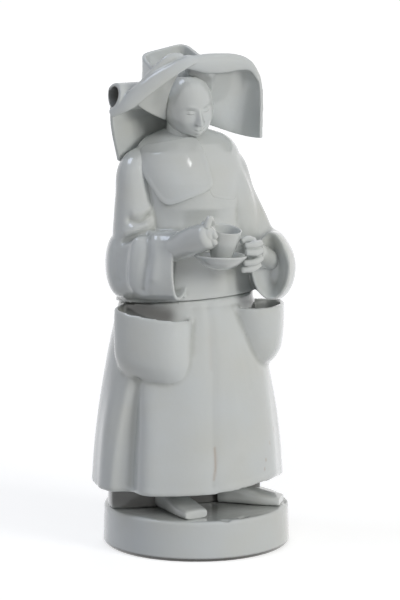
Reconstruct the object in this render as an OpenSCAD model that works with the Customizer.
// Figural veilleuse in glazed porcelain: a skirt-shaped lamp stand on a round plinth and,
// lifted on top of it, a teapot shaped as a standing woman in a winged headdress.
// Millimetres. +Z up, origin at the centre of the plinth's underside, the figure looks to -Y,
// so her right hand is on -X.

/* [Plinth] */
// Diameter of the plinth at its foot
plinth_d = 124; // [100:1:160]
// Height of the plinth
plinth_h = 27; // [18:0.5:40]
// How much narrower the plinth is at the top, on the radius
plinth_taper = 0.8; // [0:0.1:3]
// Wall of the hollow plinth
plinth_wall = 5.5; // [4:0.5:9]
// Rounding of the plinth's top edge
plinth_edge = 1.6; // [0.5:0.1:3]

/* [Skirt stand] */
// Sideways place of the figure on the plinth
figure_x = -7; // [-10:0.5:0]
// Width of the hem
hem_w = 128; // [110:1:140]
// Depth of the hem
hem_d = 114; // [100:1:130]
// Height of the hem above the plinth
hem_gap = 16; // [10:0.5:24]
// How far the hem rises over her left shoe
hem_lift = 5; // [0:0.5:8]
// Height of the skirt from hem to waist
skirt_h = 121; // [110:1:140]
// Width of the waist
waist_w = 92; // [86:1:100]
// Depth of the waist
waist_d = 72; // [68:1:80]
// Belly of the skirt's outline, 1 is a straight cone
skirt_flare = 1.6; // [1:0.05:2.2]
// Wall of the skirt
skirt_wall = 4.5; // [3.5:0.25:6]
// Depth of the skirt's large folds
fold_deep = 4; // [0:0.1:5]
// Set-back of the underskirt behind the hem at the sides
under_in_w = 11; // [9:0.5:16]
// Set-back of the underskirt behind the hem at front and back
under_in_d = 10; // [9:0.5:14]

/* [Lamp door] */
// Width of the arched door in the back of the stand
door_w = 54; // [48:1:62]
// Height of the door from the plinth to the crown of its arch
door_h = 74; // [62:1:86]

/* [Pot seat] */
// Width of the pot's spigot
spigot_w = 66; // [56:1:70]
// Depth of the pot's spigot
spigot_d = 44; // [36:1:48]
// Length of the spigot below the seat
spigot_h = 9; // [6:0.5:12]
// Clearance of the spigot in the skirt, per side
spigot_clear = 0.6; // [0.4:0.1:1.2]
// Thickness of the skirt's top at the seat
seat_h = 7; // [5:0.5:10]

/* [Pockets] */
// Half the angle that a pocket covers
pocket_half = 35; // [26:1:36]
// Bearing of the right pocket's middle from the front
right_pocket_at = 51; // [46:1:56]
// Bearing of the left pocket's middle from the front
left_pocket_at = 60; // [50:1:62]
// Height of a pocket
pocket_h = 43; // [30:1:50]
// How far the right pocket's mouth stands off the waist
right_pocket_out = 13; // [9:0.5:15]
// How far the left pocket's mouth stands off the waist
left_pocket_out = 17.5; // [12:0.5:19]
// Wall of a pocket
pocket_wall = 2.6; // [2:0.1:4]

/* [Shoes] */
// Length of a shoe
shoe_l = 40; // [34:1:44]
// Width of a shoe
shoe_w = 17; // [14:0.5:19]
// Height of a shoe at the instep
shoe_h = 13; // [9:0.5:14]

/* [Pot] */
// Height of the pot from its seat to the neck
torso_h = 114; // [106:1:122]
// Wall of the pot
pot_wall = 4.5; // [3.5:0.25:6]
// Radius of the upright channel from the pot to the filler
channel_r = 5.5; // [5:0.1:6]

/* [Sleeves] */
// Half height of the hanging sleeves
sleeve_drop = 23; // [20:0.5:25]
// Half breadth of the hanging sleeves
sleeve_broad = 13.5; // [11:0.5:15]
// Radius of the upper arms
arm_r = 12.5; // [10:0.25:13.5]
// Wall of a sleeve at its mouth
sleeve_wall = 2.6; // [2:0.1:4]
// Depth of the hollow in a sleeve's mouth
sleeve_deep = 13; // [8:0.5:18]

/* [Collar] */
// Thickness of the collar
collar_t = 1.8; // [1:0.1:3]

/* [Head] */
// Half width of the head
head_w = 16.5; // [15:0.25:18]
// Half depth of the head
head_d = 19; // [17:0.25:21]
// Height of the head above its middle
head_up = 23; // [21:0.25:25]
// Height of the head below its middle
head_low = 20; // [18:0.25:21]
// Forward tilt of the head
head_tilt = 16; // [10:1:24]
// Lean of the head to her right
head_roll = 8; // [0:1:12]
// Radius of the neck
neck_r = 11.5; // [9.5:0.25:13]

/* [Headdress] */
// Thickness of the wings
wing_t = 3.2; // [2.4:0.1:4.5]
// Half width of the rolled brim
brim_half = 5.2; // [3.5:0.1:6.5]
// Half thickness of the rolled brim
brim_thin = 2.2; // [1.6:0.1:3]
// Thickness of the cap over the head
cap_t = 2.6; // [2:0.1:3.5]
// Outer radius of the spout at its mouth
spout_r = 8.6; // [8:0.1:10]
// Radius of the spout's bore
spout_bore = 6.2; // [5:0.1:7]
// Reach of the spout from the middle of the head
spout_l = 51.5; // [48:0.5:56]
// Width of the upright fold behind the crown
fold_w = 29; // [25:0.5:33]
// Depth of the upright fold behind the crown
fold_d = 19; // [16:0.5:22]
// Thickness of the upright fold
fold_t = 2.8; // [2.2:0.1:4]

/* [Cup and saucer] */
// Radius of the cup's rim
cup_r = 11; // [9:0.5:13]
// Height of the cup
cup_h = 22.5; // [16:0.5:25]
// Radius of the cup's foot
cup_foot = 5; // [4:0.25:6]
// Radius of the saucer
saucer_r = 17.5; // [15:0.5:19]
// Height of the saucer
saucer_h = 8; // [5.5:0.5:9]
// Wall of cup and saucer
cup_wall = 1.5; // [1.2:0.1:2.2]

/* [Hands] */
// Radius of a finger
finger_r = 2.3; // [1.8:0.1:2.6]
// Radius of her right wrist in its tight undersleeve
wrist_r = 8.6; // [7.5:0.25:9.5]

/* [Lamp] */
// Diameter of the oil cup
godet_d = 44; // [36:1:46]
// Height of the oil cup
godet_h = 24; // [20:1:28]
// Wall of the oil cup
godet_wall = 2.4; // [2:0.1:4]
// Diameter of the cork float
float_d = 29; // [24:0.5:31]
// Thickness of the cork float
float_h = 4; // [3:0.5:6]
// Radius of the wick
wick_r = 1; // [0.8:0.1:1.3]
// Place of the oil cup behind the figure's axis
godet_y = 17; // [15:1:20]

/* [Hidden] */
$fn = 64;
// Gap between pieces that are set against each other and pieces of other bodies
fit = 0.3;
hem_z = plinth_h + hem_gap;
waist_z = hem_z + skirt_h;
web_z = hem_z + hem_lift + 3;
web_t = 5;
pocket_top = waist_z - 3;
stand_at = [figure_x, 0, 0];
// The underskirt stands back from the hem and wholly on the plinth
under_w = min(hem_w - 2 * under_in_w, plinth_d - 2 * (abs(figure_x) + 2));
under_d = hem_d - 2 * under_in_d;
pot_at = [figure_x, 0, waist_z];
// Middle of the head, from the middle of the pot's seat
head_at = [-2, -8, torso_h + 17];
head_abs = pot_at + head_at;
// Axis of the upright channel, from the middle of the head
channel_at = [-5, 6, 0];
// Height of the spout's axis over the middle of the head, and its place in depth
spout_at = [0, 3.5, 7.5];
saucer_at = [-1, -61, 32.5];
saucer_tilt = [-2, 3, 0];
cup_tilt = [10, 5, 0];
// Floor of the saucer's well and how far the tilted cup's foot is lifted to touch it
well_z = 2.2;
cup_lift = well_z + cup_foot * sin(13.5);

function unit(v) = v / norm(v);
function mix(a, b, t) = a + (b - a) * t;
function held(t) = min(1, max(0, t));
function ease(t) = held(t) * held(t) * (3 - 2 * held(t));
// Bearing brought into -180 to 180
function turn(a) = a - 360 * floor((a + 180) / 360);
// Soft bump of a given half width round a place
function bump(x, at, half) = exp(-pow((x - at) / half, 2));
function bump_at(b, at, half) = exp(-pow(turn(b - at) / half, 2));
// Smooth curve through points, t from 0 to 1
function curve(p, t) =
    let (n = len(p) - 1, s = min(n - 1, floor(t * n)), f = t * n - s)
    let (a = p[max(0, s - 1)], b = p[s], c = p[s + 1], d = p[min(n, s + 2)])
    0.5 * (2 * b + (c - a) * f + (2 * a - 5 * b + 4 * c - d) * f * f + (3 * b - a - 3 * c + d) * f * f * f);
// Ring of points round a middle, across an axis, with half breadths along side and up
function ring(at, axis, up, ru, rv, n) =
    let (w = unit(axis), s = unit(cross(up, w)), u = cross(w, s))
    [for (j = [0:n - 1]) at + ru * cos(360 * j / n) * s + rv * sin(360 * j / n) * u];
function middle(r) = [for (k = [0:2]) (min([for (p = r) p[k]]) + max([for (p = r) p[k]])) / 2];

// Solid through rings of one point count, each seen anticlockwise from the next ring's side
module skin(rings) {
    n = len(rings[0]);
    m = len(rings);
    sides = [for (i = [0:m - 2], j = [0:n - 1])
        each let (a = i * n + j, b = i * n + (j + 1) % n) [[a, a + n, b + n], [a, b + n, b]]];
    low = [for (j = [0:n - 1]) [m * n, j, (j + 1) % n]];
    high = [for (j = [0:n - 1]) [m * n + 1, (m - 1) * n + (j + 1) % n, (m - 1) * n + j]];
    polyhedron(points = concat([for (r = rings) each r], [middle(rings[0]), middle(rings[m - 1])]),
        faces = concat(sides, low, high));
}

// Direction square to a grid of points at one of them
function square_to(g, i, j) =
    let (m = len(g) - 1, n = len(g[0]) - 1)
    unit(cross(g[min(m, i + 1)][j] - g[max(0, i - 1)][j], g[i][min(n, j + 1)] - g[i][max(0, j - 1)]));

// Solid sheet on a grid of points, from lo to hi along the grid's square direction
module sheet(g, lo, hi) {
    m = len(g);
    n = len(g[0]);
    top = [for (i = [0:m - 1], j = [0:n - 1]) g[i][j] + hi * square_to(g, i, j)];
    under = [for (i = [0:m - 1], j = [0:n - 1]) g[i][j] + lo * square_to(g, i, j)];
    k = m * n;
    faces = [for (i = [0:m - 2], j = [0:n - 2])
        each let (a = i * n + j, b = a + n, c = b + 1, d = a + 1)
        [[a, d, c], [a, c, b], [k + a, k + b, k + c], [k + a, k + c, k + d]]];
    loop = concat([for (i = [0:m - 2]) i * n], [for (j = [0:n - 2]) (m - 1) * n + j],
        [for (i = [m - 1:-1:1]) i * n + n - 1], [for (j = [n - 1:-1:1]) j]);
    wall = [for (q = [0:len(loop) - 1])
        each let (a = loop[q], b = loop[(q + 1) % len(loop)]) [[k + a, a, b], [k + a, b, k + b]]];
    polyhedron(points = concat(top, under), faces = concat(faces, wall));
}

// Worked as one moulded surface
module moulded() {
    resize([0, 0, 0]) children();
}

function oval(a, b, n) = [for (j = [0:n - 1]) [a * cos(360 * j / n), b * sin(360 * j / n)]];

// Round-ended slot outline for the pot's spigot and its seat
module slot_outline(w, d) {
    square([w - d, d], center = true);
    translate([(d - w) / 2, 0]) circle(d = d, $fn = 28);
    translate([(w - d) / 2, 0]) circle(d = d, $fn = 28);
}

// Skirt: bearing 0 is the front, 90 her left; t runs from hem to waist
function hem_at(b) = hem_z + hem_lift * bump_at(b, 52, 42);
function skirt_fold(b, t) =
    (1 - ease((t - 0.3) / 0.45)) * fold_deep * (0.8 * bump_at(b, -76, 10) - 1.2 * bump_at(b, -58, 8)
    + 0.5 * bump_at(b, -44, 10) - 0.25 * bump_at(b, 60, 9) + 0.3 * bump_at(b, 78, 10)
    + 0.5 * cos(8 * b) * ease((abs(b) - 100) / 25))
    - 0.5 * bump_at(b, -3, 6) * ease((1 - t) / 0.3);
function skirt_pt(b, t, grow) =
    let (k = pow(t, skirt_flare), r = grow + skirt_fold(b, t) + 0.8 * (1 - ease(t / 0.05)))
    [(mix(hem_w, waist_w, k) / 2 + r) * sin(b), -(mix(hem_d, waist_d, k) / 2 + r) * cos(b),
    mix(hem_at(b), waist_z, t)];
function skirt_ring(t, grow, n) = [for (j = [0:n - 1]) skirt_pt(turn(360 * j / n), t, grow)];
skirt_steps = [0, 0.03, 0.1, 0.2, 0.32, 0.45, 0.58, 0.72, 0.87, 1];

module skirt_form() {
    skin([for (t = skirt_steps) skirt_ring(t, 0, 60)]);
}

// Space inside the skirt above its web
module skirt_space() {
    lo = (web_z + web_t - hem_z) / skirt_h;
    hi = 1 - seat_h / skirt_h;
    skin([for (t = [lo, mix(lo, hi, 0.35), mix(lo, hi, 0.7), hi])
        [for (j = [0:31])
            let (b = turn(360 * j / 32), p = skirt_pt(b, held(t), -skirt_wall - 1.2 * fold_deep * (1 - t)))
            [p[0], p[1], mix(hem_z, waist_z, t)]]]);
}

// Hollow under the skirt, between the hem and the web
module hem_space() {
    skin([for (z = [hem_z - 10, web_z])
        [for (j = [0:31])
            let (b = turn(360 * j / 32), p = skirt_pt(b, 0.04, -skirt_wall - 1.2 * fold_deep))
            [p[0], p[1], z]]]);
}

// Arched door through the back of the stand, from the plinth upward
module door_form() {
    translate([0, hem_d, plinth_h])
        rotate([90, 0, 0])
            linear_extrude(hem_d - 20) {
                translate([-door_w / 2, -5]) square([door_w, door_h - door_w / 2 + 5]);
                translate([0, door_h - door_w / 2]) circle(d = door_w, $fn = 32);
            }
}

module under_outline(wall) {
    difference() {
        polygon(oval(under_w / 2 - wall, under_d / 2 - wall, 48));
        translate([-36 - wall, -70 + wall]) square([120, 58]);
    }
}

module plinth() {
    top_r = plinth_d / 2 - plinth_taper;
    color([0.86, 0.88, 0.87])
        rotate_extrude()
            difference() {
                union() {
                    polygon([[0, 0], [plinth_d / 2, 0], [top_r, plinth_h - plinth_edge],
                        [top_r - plinth_edge, plinth_h], [0, plinth_h]]);
                    translate([top_r - plinth_edge, plinth_h - plinth_edge]) circle(plinth_edge);
                }
                translate([-1, -1])
                    square([plinth_d / 2 - plinth_wall + 1, plinth_h - plinth_wall + 1]);
                translate([-10, 0]) square([10, plinth_h]);
            }
}

module underskirt() {
    color([0.84, 0.86, 0.85])
        translate(stand_at)
            difference() {
                translate([0, 0, plinth_h])
                    linear_extrude(web_z - plinth_h)
                        difference() {
                            under_outline(0);
                            under_outline(skirt_wall);
                        }
                door_form();
            }
}

module skirt() {
    color([0.86, 0.88, 0.87])
        translate(stand_at)
            moulded()
                difference() {
                    skirt_form();
                    skirt_space();
                    hem_space();
                    translate([0, 0, hem_z - 10]) linear_extrude(web_z - hem_z + 10) under_outline(0);
                    translate([0, 0, hem_z]) linear_extrude(web_z) under_outline(skirt_wall);
                    door_form();
                    translate([0, 0, waist_z - 20])
                        linear_extrude(30)
                            slot_outline(spigot_w + 2 * spigot_clear, spigot_d + 2 * spigot_clear);
                }
}

// Pocket: a panel that leaves the skirt at its sides and bottom and gapes at the top
function pocket_pt(mid, gape, s, v) =
    let (half = pocket_half * (0.84 + 0.16 * v), b = mid + s * half)
    let (round = 5 * pow(abs(s), 4) * (1 - v), z = pocket_top - pocket_h * (1 - v) + round)
    let (t = (z - hem_at(b)) / (waist_z - hem_at(b)))
    let (out = gape * pow(v, 0.5) * (1 - pow(abs(s), 4.5)) - 1.5 * (1 - ease(v * 4)) - 1.5 * pow(s, 8))
    skirt_pt(b, t, out);
module pocket_form(mid, gape) {
    sheet([for (i = [0:12]) [for (j = [0:4]) pocket_pt(mid, gape, sin(15 * i - 90), pow(j / 4, 1.4))]], -pocket_wall, 0);
}
module pocket(mid, gape) {
    color([0.87, 0.89, 0.88])
        translate(stand_at)
            moulded()
                difference() {
                    pocket_form(mid, gape);
                    skirt_form();
                }
}
module right_pocket() {
    pocket(-right_pocket_at, right_pocket_out);
}
module left_pocket() {
    pocket(left_pocket_at, left_pocket_out);
}

// Shoe along its own -Y, heel at the origin, standing on z = 0
module shoe_form() {
    steps = [[0, 0.72, 1], [0.1, 0.8, 1.02], [0.3, 0.86, 0.98], [0.5, 0.98, 0.84], [0.7, 1, 0.66],
        [0.86, 0.94, 0.56], [0.95, 0.84, 0.5], [1, 0.62, 0.36]];
    skin([for (k = steps)
        [for (j = [0:13])
            let (a = 360 * j / 14, c = cos(a), s = sin(a))
            [sign(c) * pow(abs(c), 0.6) * shoe_w / 2 * k[1], -shoe_l * k[0],
            shoe_h * k[2] * (0.5 + 0.5 * sign(s) * pow(abs(s), 0.6))]]]);
}
module shoe(at, bearing) {
    color([0.82, 0.84, 0.83])
        translate(stand_at)
            moulded()
                difference() {
                    translate([at[0], at[1], plinth_h]) rotate([0, 0, bearing]) shoe_form();
                    translate([0, 0, plinth_h - 1]) linear_extrude(hem_gap + 20) under_outline(0);
                    translate([-80, -80, web_z]) cube([160, 160, 20]);
                }
}
module right_shoe() {
    shoe([-20, -6], 20);
}
module left_shoe() {
    shoe([19, -8], 56);
}

// Pot: rows of height, half width, half depth and forward place, from seat to neck
torso_rows = [[0, 46.8, 37.2, 0], [1.8, 47.4, 37.8, 0], [4.5, 46.4, 36.8, 0], [14, 44.6, 35.6, 0], [30, 41, 35, -1],
    [50, 37, 35.5, -2.5], [68, 35, 35.5, -3], [82, 35.5, 33, -2.5], [92, 36.5, 29, -1], [100, 35, 25.5, 0],
    [106, 31, 21.5, 1], [110, 25, 17.5, 2], [114, 14, 12, 3]];
function torso_row(z) =
    let (n = len(torso_rows) - 1, s = max([for (i = [0:n - 1]) if (i == 0 || torso_rows[i][0] <= z) i]))
    let (f = (z - torso_rows[s][0]) / (torso_rows[s + 1][0] - torso_rows[s][0]))
    curve(torso_rows, (s + f) / n);
// Point on the pot at a bearing and a height, which counts in the rows above
function torso_pt(b, z, grow) =
    let (r = torso_row(z), w = r[1] + (waist_w - 92) / 2, d = r[2] + (waist_d - 72) / 2)
    let (ridge = 0.7 * bump(z, 67, 2.2) * bump_at(b, 0, 42) - 0.5 * bump(z, 60, 4) * bump_at(b, -6, 30))
    [(w + grow + ridge) * sin(b), r[3] - (d + grow + ridge) * cos(b), z * torso_h / 114];
torso_steps = [0, 1.8, 4.5, 14, 30, 50, 63, 67, 72, 82, 92, 100, 106, 110, 114];
module torso_form(grow) {
    skin([for (z = torso_steps) [for (j = [0:39]) torso_pt(turn(9 * j), z, grow)]]);
}
module torso_space() {
    skin([for (z = [pot_wall, 14, 46, 86, 100, 106])
        [for (j = [0:19]) torso_pt(turn(18 * j), z, -pot_wall)]]);
}
module channel_form() {
    translate(head_at + channel_at) translate([0, 0, -60]) cylinder(r = channel_r, h = 110, $fn = 24);
}

module torso() {
    color([0.86, 0.88, 0.87])
        translate(pot_at)
            moulded()
                difference() {
                    union() {
                        torso_form(0);
                        translate([0, 0, -spigot_h]) linear_extrude(spigot_h + 1) slot_outline(spigot_w, spigot_d);
                    }
                    torso_space();
                    translate([0, 0, -spigot_h + pot_wall])
                        linear_extrude(2 * pot_wall)
                            slot_outline(spigot_w - 2 * pot_wall, spigot_d - 2 * pot_wall);
                    channel_form();
                }
}

// Round limb along a path of points with a radius at each
module arm_form(path, radii) {
    steps = 2 * len(path) - 2;
    skin([for (i = [0:steps])
        let (t = i / steps, p = curve(path, t), q = curve(path, min(1, t + 0.02)) - curve(path, max(0, t - 0.02)))
        ring(p, q, [0, 1, 0], curve(radii, t), curve(radii, t), 14)]);
}
// Hanging lower sleeve from elbow to mouth; cut takes the hollow of the mouth
function bell_path(side) = side < 0
    ? [[-43, 10, 27], [-43, -6, 28], [-35, -24, 29.5], [-20, -40, 31]]
    : [[44, -12, 25], [50, -26, 25.5], [47, -40, 26.5], [38.5, -51, 29]];
function bell_fold(side, t, a) = side < 0
    ? 1.6 * bump(t, 0.34, 0.09) - 2 * bump(t, 0.52, 0.08) * (0.5 - 0.5 * sin(a)) + 0.8 * bump(t, 0.68, 0.1)
    : 1.2 * bump(t, 0.4, 0.1) - 1.3 * bump(t, 0.58, 0.08);
function bell_ring(side, t, less, n) =
    let (p = bell_path(side), at = curve(p, held(t)), end = sqrt(1 - pow(1 - held(t / 0.3), 2)))
    let (axis = curve(p, min(1, t + 0.02)) - curve(p, max(0, min(1, t) - 0.02)))
    let (w = unit([axis[0], axis[1], 0]), s = cross([0, 0, 1], w))
    let (over = t > 1 ? (t - 1) * 50 * w : [0, 0, 0])
    [for (j = [0:n - 1])
        let (a = 360 * j / n, f = bell_fold(side, t, a) - less, full = side < 0 ? 0.75 : 1)
        let (c = sign(cos(a)) * pow(abs(cos(a)), full), taper = side < 0 ? 1 : 1 - 0.22 * ease(sin(a)))
        at + over + c * ((sleeve_broad * taper + f) * (0.25 + 0.75 * end)) * s
        + sin(a) * ((sleeve_drop - less) * (0.35 + 0.65 * end)) * [0, 0, 1]];
module bell_form(side) {
    skin([for (i = [0:11]) bell_ring(side, i / 11, 0, 20)]);
}
module bell_space(side) {
    deep = 1 - sleeve_deep / 55;
    dish = side > 0 ? 1 : 0.3;
    skin([for (k = [[0, 8], [0.3, 3.2], [0.65, 0.8], [1, 0], [1.3, 0]])
        bell_ring(side, mix(deep, 1, k[0]), sleeve_wall + dish * k[1], 18)]);
}
module sleeve_form(side) {
    bell_form(side);
    if (side < 0) {
        arm_form([[-20, 2, 98], [-34.5, 0, 90], [-36.5, -4, 72], [-37, -7, 50], [-40, -6, 28]],
            arm_r * [0.6, 0.96, 1.14, 1.32, 1.1]);
    } else {
        arm_form([[18, 2, 97], [32, 0, 88], [36, -6, 70], [41, -16, 50], [46, -25, 28]],
            arm_r * [0.6, 0.88, 0.86, 0.9, 0.9]);
    }
}
module sleeve(side) {
    color([0.86, 0.88, 0.87])
        translate(pot_at)
            moulded()
                difference() {
                    union() sleeve_form(side);
                    bell_space(side);
                    torso_form(0);
                }
}
module right_sleeve() {
    sleeve(-1);
}
module left_sleeve() {
    sleeve(1);
}

// Collar plate laid on the breast: bearing and height on the pot at its four corners
module collar_form(in_top, out_top, in_low, out_low, more) {
    sheet([for (i = [0:8])
        [for (j = [0:6])
            let (s = i / 8, v = j / 6)
            let (c = mix(mix(in_top, out_top, s), mix(in_low, out_low, s), v))
            torso_pt(c[0], c[1], 0)]], -1, collar_t + more);
}
module right_collar_form(more) {
    collar_form([3, 110], [-86, 104], [6, 80], [-46, 68], more);
}
module left_collar_form() {
    collar_form([86, 104], [0.5, 109.2], [40, 69], [2, 74], 0);
}
module right_collar() {
    color([0.88, 0.9, 0.9])
        translate(pot_at)
            moulded()
                difference() {
                    right_collar_form(0);
                    torso_form(0);
                    union() sleeve_form(-1);
                }
}
module left_collar() {
    color([0.88, 0.9, 0.9])
        translate(pot_at)
            moulded()
                difference() {
                    left_collar_form();
                    torso_form(0);
                    union() sleeve_form(1);
                    right_collar_form(1);
                }
}

// Finger through three points
module finger(a, b, c, r) {
    skin([for (i = [0:5])
        let (t = i / 5, p = curve([a, b, c], t), q = curve([a, b, c], min(1, t + 0.05)) - curve([a, b, c], max(0, t - 0.05)))
        ring(p, q, [0.1, 0.2, 1], r * [1, 1, 1, 1, 0.85, 0.4][i], r * [1, 1, 1, 1, 0.85, 0.4][i], 8)]);
}
module ball(at, rx, ry, rz) {
    translate(at)
        skin([for (e = [-80:32:80])
            [for (j = [0:9]) [rx * cos(e) * cos(36 * j), ry * cos(e) * sin(36 * j), rz * sin(e)]]]);
}
module right_hand_form() {
    arm_form([[-31, -29, 37], [-22.5, -41, 43], [-19.5, -57, 51], [-16, -71, 58]], wrist_r * [0.86, 0.88, 0.9, 0.88]);
    ball([-13.2, -70.4, 58.3], 5, 5.4, 6.4);
    finger([-13.5, -71, 61.5], [-11, -69.5, 68], [-8.6, -66.5, 63], finger_r);
    finger([-14.5, -67, 61], [-13, -63.5, 61.5], [-12.2, -61, 57.5], finger_r);
    finger([-11.5, -70.5, 57], [-10, -72.4, 56], [-8.5, -72.6, 53.5], finger_r);
    finger([-12, -70.5, 53.6], [-10, -72, 51.6], [-8.6, -72, 49.4], finger_r);
}
module left_hand_form() {
    arm_form([[42.6, -39.9, 30.4], [34.7, -48.4, 35], [28.7, -54.6, 38.5], [24.8, -58.7, 40.1]], wrist_r * [0.82, 0.8, 0.78, 0.68]);
    ball([23.9, -60.6, 40.1], 5.2, 5.4, 8.2);
    finger([26.5, -63, 46.5], [21, -66.4, 46.4], [14.1, -65.5, 45.8], finger_r);
    finger([26.5, -64, 41.8], [21, -67.6, 41.4], [13.7, -67.4, 41.8], finger_r);
    finger([26.5, -64, 36.8], [20.5, -67.4, 35.2], [12.9, -66.4, 34.8], finger_r);
    finger([25.5, -63, 32.4], [19.5, -66, 30.6], [12.3, -64.4, 30], finger_r);
    finger([24.5, -57, 47], [19, -58.6, 49], [13.5, -60.4, 47.6], finger_r * 1.1);
}
module right_hand() {
    color([0.88, 0.9, 0.89])
        translate(pot_at)
            moulded()
                difference() {
                    right_hand_form();
                    cup_block(fit);
                    difference() {
                        sleeve_form(-1);
                        bell_space(-1);
                    }
                    torso_form(0);
                }
}
module left_hand() {
    color([0.88, 0.9, 0.89])
        translate(pot_at)
            moulded()
                difference() {
                    left_hand_form();
                    cup_block(fit);
                    difference() {
                        sleeve_form(1);
                        bell_space(1);
                    }
                    torso_form(0);
                }
}

// Saucer and cup, each in its own tilted frame; the cup's foot leans on the saucer's well
module saucer_outline(grow) {
    polygon([[0, -grow], [8 + grow, -grow], [8 + grow, 1.2], [saucer_r - 3, saucer_h - 2.4 - grow],
        [saucer_r + grow, saucer_h - cup_wall], [saucer_r + grow, saucer_h + grow],
        [saucer_r - 1 - grow, saucer_h + grow], [saucer_r - 4, saucer_h - 1.2 + grow],
        [cup_foot + 4.6, 3.4 + grow], [cup_foot + 3.2, well_z], [0, well_z]]);
}
module cup_outline(grow) {
    polygon([[0, 0], [cup_foot + grow, 0], [cup_foot + grow, 1], [cup_foot + 1.8 + grow, 2.6],
        [cup_r - 2 + grow, cup_h * 0.5], [cup_r - 0.7 + grow, cup_h * 0.78], [cup_r + grow, cup_h + grow],
        [0, cup_h + grow]]);
}
module cup_inside() {
    polygon([[0, 2.4], [cup_foot - 0.6, 2.4], [cup_foot + 1.2 - cup_wall / 2, 3.6], [cup_r - 2 - cup_wall, cup_h * 0.5],
        [cup_r - 0.7 - cup_wall, cup_h * 0.78], [cup_r - cup_wall + 0.3, cup_h + 0.1], [0, cup_h + 0.1]]);
}
module handle_form(grow) {
    translate([-cup_r + 1.2, 0, cup_h * 0.55])
        rotate([90, 0, 0])
            rotate([0, 0, 75])
                rotate_extrude(angle = 210, $fn = grow > 0 ? 16 : 48)
                    translate([cup_h * 0.24, 0]) circle(r = 1.2 + grow, $fn = grow > 0 ? 13 : 32);
}
module cup_frame() {
    translate(saucer_at)
        rotate(saucer_tilt)
            translate([0, 0, cup_lift])
                rotate(cup_tilt - saucer_tilt)
                    children();
}
module cup_block(grow) {
    translate(saucer_at) rotate(saucer_tilt) rotate_extrude($fn = 28) saucer_outline(grow);
    cup_frame() {
        rotate_extrude($fn = 28) cup_outline(grow);
        handle_form(grow);
    }
}
module saucer() {
    color([0.88, 0.9, 0.89])
        translate(pot_at + saucer_at)
            rotate(saucer_tilt)
                rotate_extrude()
                    saucer_outline(0);
}
module cup() {
    color([0.88, 0.9, 0.89])
        translate(pot_at)
            cup_frame()
                difference() {
                    union() {
                        rotate_extrude() cup_outline(0);
                        handle_form(0);
                    }
                    rotate_extrude() cup_inside();
                }
}

// Head: distance from the middle along a bearing from the face and an elevation
function face_shape(b, e) =
    4 * bump_at(b, 0, 8) * bump(e, 2, 7) + 2.2 * bump_at(b, 0, 6) * bump(e, 14, 9)
    - 1.6 * (bump_at(b, 23, 9) + bump_at(b, -23, 9)) * bump(e, 18, 7)
    + 1.3 * (bump_at(b, 23, 8) + bump_at(b, -23, 8)) * bump(e, 17, 4.5)
    + 0.7 * (bump_at(b, 20, 13) + bump_at(b, -20, 13)) * bump(e, 30, 6)
    + 0.9 * (bump_at(b, 36, 14) + bump_at(b, -36, 14)) * bump(e, -6, 12)
    + 1.5 * bump_at(b, 0, 13) * (bump(e, -20, 3.4) + bump(e, -28, 3.8))
    - 0.7 * bump_at(b, 0, 11) * bump(e, -36, 4)
    + 1.8 * bump_at(b, 0, 16) * bump(e, -50, 9);
function head_r(b, e) =
    let (up = e > 0 ? head_up : head_low, x = cos(e) * sin(b) / head_w, y = cos(e) * cos(b) / head_d, z = sin(e) / up)
    1 / sqrt(x * x + y * y + z * z);
function head_pt(b, e, grow) =
    let (r = head_r(b, e) + (grow > 0 ? grow : face_shape(b, e)))
    r * [cos(e) * sin(b), -cos(e) * cos(b), sin(e)];
module head_form(grow) {
    rows = grow > 0 ? 10 : 19;
    round = grow > 0 ? 20 : 32;
    rotate([head_tilt, -head_roll, 0])
        skin([for (i = [0:rows])
            let (u = 2 * i / rows - 1, e = 88 * (0.72 * u + 0.28 * u * u * u))
            [for (j = [0:round - 1])
                let (s = j / round - 0.5)
                head_pt(360 * s - (grow > 0 ? 0 : 36) * sin(360 * s), e, grow)]]);
}
// Half space behind the line from the forehead to the jaw, which the cap covers
module cap_side() {
    rotate([head_tilt, -head_roll, 0])
        translate([0, -9, 21])
            rotate([19, 0, 0])
                translate([-50, 0, -60]) cube([100, 90, 120]);
}
module neck_form() {
    translate([0, 6, -34]) cylinder(r1 = neck_r + 2, r2 = neck_r, h = 28, $fn = 24);
}
module spout_bore_form() {
    translate(spout_at) translate([channel_at[0], 0, 0]) rotate([0, -90, 0]) cylinder(r = spout_bore, h = spout_l + 20, $fn = 24);
}
module head() {
    color([0.89, 0.9, 0.9])
        translate(head_abs)
            moulded()
                difference() {
                    union() {
                        difference() {
                            head_form(0);
                            cap_side();
                        }
                        difference() {
                            neck_form();
                            cap_form();
                        }
                    }
                    translate(-head_at) torso_form(0);
                    translate(-head_at) channel_form();
                    spout_bore_form();
                }
}

// Cap: close over the head behind the forehead line, with a flat seat for the upright fold
module cap_form() {
    intersection() {
        head_form(cap_t);
        cap_side();
    }
    translate([-fold_w + 6, 2, 6]) cube([fold_w - 1, fold_d - 1, 14]);
}
module cap() {
    color([0.86, 0.88, 0.88])
        translate(head_abs)
            moulded()
                difference() {
                    cap_form();
                    translate(-head_at) channel_form();
                    spout_bore_form();
                    translate(-head_at) torso_form(0);
                }
}

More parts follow.
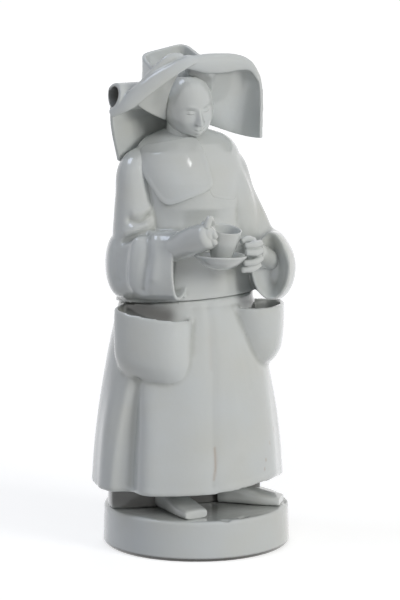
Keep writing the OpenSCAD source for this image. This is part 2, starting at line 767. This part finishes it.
// Upright fold behind the crown: three walls of a box, higher to her left
module fold_outline(less) {
    offset(r = 5 - less, $fn = 20)
        polygon([[-fold_w + 10, 4], [-fold_w + 9, fold_d - 4], [-1, fold_d - 4], [3, 4]]);
}
module back_fold_form() {
    intersection() {
        difference() {
            translate([0, 0, 4])
                linear_extrude(40)
                    difference() {
                        fold_outline(0);
                        fold_outline(fold_t);
                    }
            translate([-50, -48, 0]) cube([100, 50, 60]);
        }
        translate([0, fold_d, 36.5]) rotate([24, -11, 0]) translate([-60, -60, -60]) cube([120, 120, 60]);
    }
}
module back_fold() {
    color([0.86, 0.88, 0.88])
        translate(head_abs)
            moulded()
                difference() {
                    back_fold_form();
                    cap_form();
                    head_form(0);
                    spout_body();
                }
}

// Brim and wing on her left: from a line round the face out to a free edge
wing_root = [[-15, 2, -9], [-16, -6, 5], [-9, -14, 18], [2, -16, 21], [12, -11, 18], [17, 0, 8], [16, 9, -7], [18, 14, -19]];
wing_edge = [[-38, -6, 2], [-33, -12, 13], [-21, -17, 22.5], [-7, -20, 30], [14, -19, 33], [37, -14, 28.5], [47, -11, 13], [46, -13, -20]];
module left_wing_form() {
    sheet([for (i = [0:18])
        [for (j = [0:5])
            let (u = i / 18, v = j / 5, a = curve(wing_root, u), b = curve(wing_edge, u))
            let (belly = sin(180 * v) * (2 + 6 * ease((u - 0.45) / 0.3)))
            mix(a, b, v) + belly * unit([a[0] * 0.8, 12, a[2] + 6])]], -wing_t / 2, wing_t / 2);
}
module left_wing() {
    color([0.86, 0.88, 0.88])
        translate(head_abs)
            moulded()
                difference() {
                    left_wing_form();
                    head_form(0);
                    cap_form();
                    neck_form();
                    spout_body();
                    brim_form();
                    back_fold_form();
                    translate(-head_at) {
                        torso_form(0);
                        left_collar_form();
                    }
                }
}
// Panel that hangs from the spout to the back of her right shoulder
module right_wing_form() {
    out_edge = [[-53, 3, -2], [-53.5, 6, -12], [-50, 11, -24], [-43, 15, -37]];
    in_edge = [[14, 14, 8], [17, 15, -4], [19, 14, -14], [18, 13, -24]];
    sheet([for (i = [0:7])
        [for (j = [0:9])
            let (u = i / 7, v = j / 9, a = curve(in_edge, u), b = curve(out_edge, u))
            mix(a, b, v) + sin(180 * v) * [0, 9, 0]]], -wing_t / 2, wing_t / 2);
}
module right_wing() {
    color([0.86, 0.88, 0.88])
        translate(head_abs)
            moulded()
                difference() {
                    right_wing_form();
                    head_form(0);
                    cap_form();
                    neck_form();
                    spout_body();
                    brim_form();
                    left_wing_form();
                    back_fold_form();
                    translate(-head_at) {
                        torso_form(0);
                        right_collar_form(0);
                        left_collar_form();
                        sleeve_form(-1);
                    }
                }
}

// Rolled brim from the spout's mouth over the brow to the left wing
module brim_form() {
    path = [[-51.5, -1, -3], [-44.5, -8, 4], [-33, -14, 14], [-20, -18.5, 23], [-7, -20.5, 30.5]];
    roll = [[-46, -3, 7], [-37, -8, 15.5], [-25, -12.5, 25], [-11, -16, 33]];
    skin([for (i = [0:12])
        let (t = i / 12, p = curve(path, t), q = curve(path, min(1, t + 0.02)) - curve(path, max(0, t - 0.02)))
        ring(p, q, [0.1, -0.75, 0.65], brim_half * (1 - 0.6 * ease((t - 0.6) / 0.4)), brim_thin, 8)]);
    skin([for (i = [0:8])
        let (t = i / 8, p = curve(roll, t), q = curve(roll, min(1, t + 0.02)) - curve(roll, max(0, t - 0.02)))
        ring(p, q, [0.1, -0.75, 0.65], 2.8 - 1.6 * ease((t - 0.6) / 0.4), brim_thin, 6)]);
}
module brim() {
    color([0.87, 0.89, 0.89])
        translate(head_abs)
            moulded()
                difference() {
                    brim_form();
                    head_form(0);
                    cap_form();
                    spout_body();
                    back_fold_form();
                }
}

// Spout in the right horn of the headdress, its mouth cut aslant
module spout_body() {
    translate(spout_at)
        difference() {
            rotate([0, -90, 0]) cylinder(r1 = spout_r + 1, r2 = spout_r, h = spout_l, $fn = 26);
            translate([-spout_l, 0, 0]) rotate([0, 16, 10]) translate([-20, -20, -20]) cube([20, 40, 40]);
        }
}
module spout() {
    color([0.87, 0.89, 0.89])
        translate(head_abs)
            moulded()
                difference() {
                    spout_body();
                    spout_bore_form();
                    head_form(0);
                    cap_form();
                    neck_form();
                    translate(-head_at) channel_form();
                }
}

// Lamp in the stand: oil cup, cork float, tin wick holder and wick
function godet_in(z) = godet_d / 2 - godet_wall - (godet_h - z) * 0.5;
float_z = godet_h - 2 * (godet_d / 2 - godet_wall - float_d / 2 - fit);
module godet_frame() {
    translate([figure_x, godet_y, plinth_h]) children();
}
module godet() {
    color([0.9, 0.91, 0.9])
        godet_frame() {
            difference() {
                union() {
                    rotate_extrude()
                        polygon([[0, 0], [12, 0], [12, 1.5], [godet_d / 2 - 6, 6], [godet_d / 2, godet_h],
                            [0, godet_h]]);
                    translate([0, godet_d / 2 - 2, godet_h - 3]) cylinder(r = 8, h = 3);
                }
                rotate_extrude()
                    polygon([[0, 4], [godet_in(4), 4], [godet_in(godet_h + 1), godet_h + 1], [0, godet_h + 1]]);
                translate([0, godet_d / 2 + 2, godet_h - 5]) cylinder(r = 2.2, h = 10);
            }
        }
}
module float() {
    color([0.72, 0.56, 0.38])
        godet_frame()
            translate([0, 0, float_z])
                difference() {
                    cylinder(d = float_d, h = float_h);
                    translate([0, 0, -1]) cylinder(r = wick_r + 1.1, h = float_h + 2);
                }
}
module wick_holder() {
    color([0.7, 0.7, 0.7])
        godet_frame()
            translate([0, 0, float_z])
                difference() {
                    union() {
                        translate([0, 0, float_h]) cylinder(r = 8, h = 0.6);
                        translate([0, 0, -1.5]) cylinder(r = wick_r + 0.9, h = float_h + 5);
                    }
                    translate([0, 0, -3]) cylinder(r = wick_r + 0.2, h = float_h + 10);
                }
}
module wick() {
    color([0.9, 0.88, 0.82])
        godet_frame()
            translate([0, 0, float_z - 4])
                cylinder(r = wick_r + 0.15, h = float_h + 10);
}

plinth();
underskirt();
skirt();
right_pocket();
left_pocket();
right_shoe();
left_shoe();
torso();
right_sleeve();
left_sleeve();
right_collar();
left_collar();
right_hand();
left_hand();
cup();
saucer();
head();
cap();
back_fold();
left_wing();
right_wing();
brim();
spout();
godet();
float();
wick_holder();
wick();
